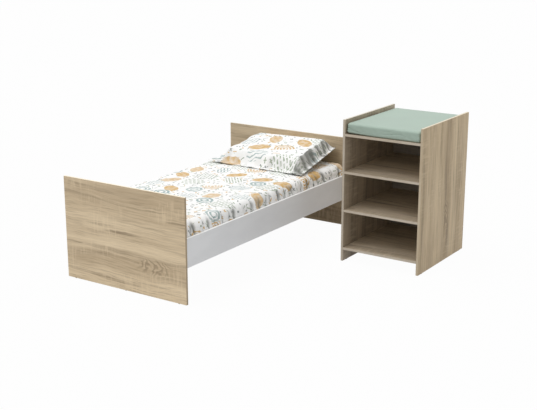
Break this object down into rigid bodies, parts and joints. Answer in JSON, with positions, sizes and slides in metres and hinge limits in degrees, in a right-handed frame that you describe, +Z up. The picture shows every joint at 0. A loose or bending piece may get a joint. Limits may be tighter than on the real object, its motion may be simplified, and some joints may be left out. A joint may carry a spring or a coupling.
{
  "type": "convertible crib",
  "caption": "Nursery set after its conversion: low single bed with panel ends, white rails, mattress and pillow, beside a free-standing open shelf unit with a padded changing top.",
  "frame": {"origin": "on the floor under the middle of the whole set, bed and shelf unit together", "axes": "+Z up, +X from the bed to the shelf unit, +Y from the footboard to the headboard"},
  "size_m": [1.982, 1.976, 0.955],
  "materials": {
    "oak_laminate": "light oak grain laminate, matt, faint pore texture",
    "white_lacquer": "white satin lacquer",
    "slat_pine": "planed pine",
    "tape_cloth": "woven cotton tape",
    "zinc_cams": "cast zinc, dull",
    "plated_steel": "bright zinc plating",
    "dowel_beech": "fluted beech",
    "glide_plastic": "moulded plastic",
    "mattress_cover": "knitted ticking",
    "printed_sheet": null,
    "pillow_case": null,
    "pad_cover": "mint wipe-clean coated cloth"
  },
  "bodies": {
    "bed_frame": {"footboard": "oak_laminate", "headboard": "oak_laminate", "footboard_glides": "glide_plastic", "headboard_glides": "glide_plastic", "side_rail_left": "white_lacquer", "side_rail_right": "white_lacquer", "slat_batten_left": "slat_pine", "slat_batten_right": "slat_pine", "slat_01": "slat_pine", "slat_02": "slat_pine", "slat_03": "slat_pine", "slat_04": "slat_pine", "slat_05": "slat_pine", "slat_06": "slat_pine", "slat_07": "slat_pine", "slat_08": "slat_pine", "slat_09": "slat_pine", "slat_10": "slat_pine", "slat_11": "slat_pine", "slat_12": "slat_pine", "slat_13": "slat_pine", "slat_tape_left": "tape_cloth", "slat_tape_right": "tape_cloth", "slat_screws": "plated_steel", "batten_screws": "plated_steel", "rail_cam_locks": "zinc_cams", "rail_cam_bolts": "plated_steel", "rail_dowels": "dowel_beech"},
    "mattress": {"mattress": "mattress_cover", "fitted_sheet": "printed_sheet"},
    "pillow": {"pillow": "pillow_case"},
    "shelf_unit": {"unit_side_left": "oak_laminate", "unit_side_right": "oak_laminate", "changing_top": "oak_laminate", "upper_shelf": "oak_laminate", "lower_shelf": "oak_laminate", "bottom_shelf": "oak_laminate", "unit_back": "oak_laminate", "back_nails": "plated_steel", "shelf_cam_locks": "zinc_cams", "shelf_cam_bolts": "plated_steel", "shelf_dowels": "dowel_beech", "shelf_pins": "plated_steel", "unit_glides": "glide_plastic"},
    "changing_pad": {"changing_pad": "pad_cover"}
  },
  "joints": [
    {"name": "mattress_lift", "type": "slide", "parent": "bed_frame", "child": "mattress", "axis": [0, 0, 1], "range_m": [0, 0.4]},
    {"name": "pillow_lift", "type": "slide", "parent": "mattress", "child": "pillow", "axis": [0, 0, 1], "range_m": [0, 0.3]},
    {"name": "unit_slide", "type": "slide", "parent": "bed_frame", "child": "shelf_unit", "axis": [1, 0, 0], "range_m": [-0.3, 0.5]},
    {"name": "pad_lift", "type": "slide", "parent": "shelf_unit", "child": "changing_pad", "axis": [0, 0, 1], "range_m": [0, 0.3]}
  ]
}
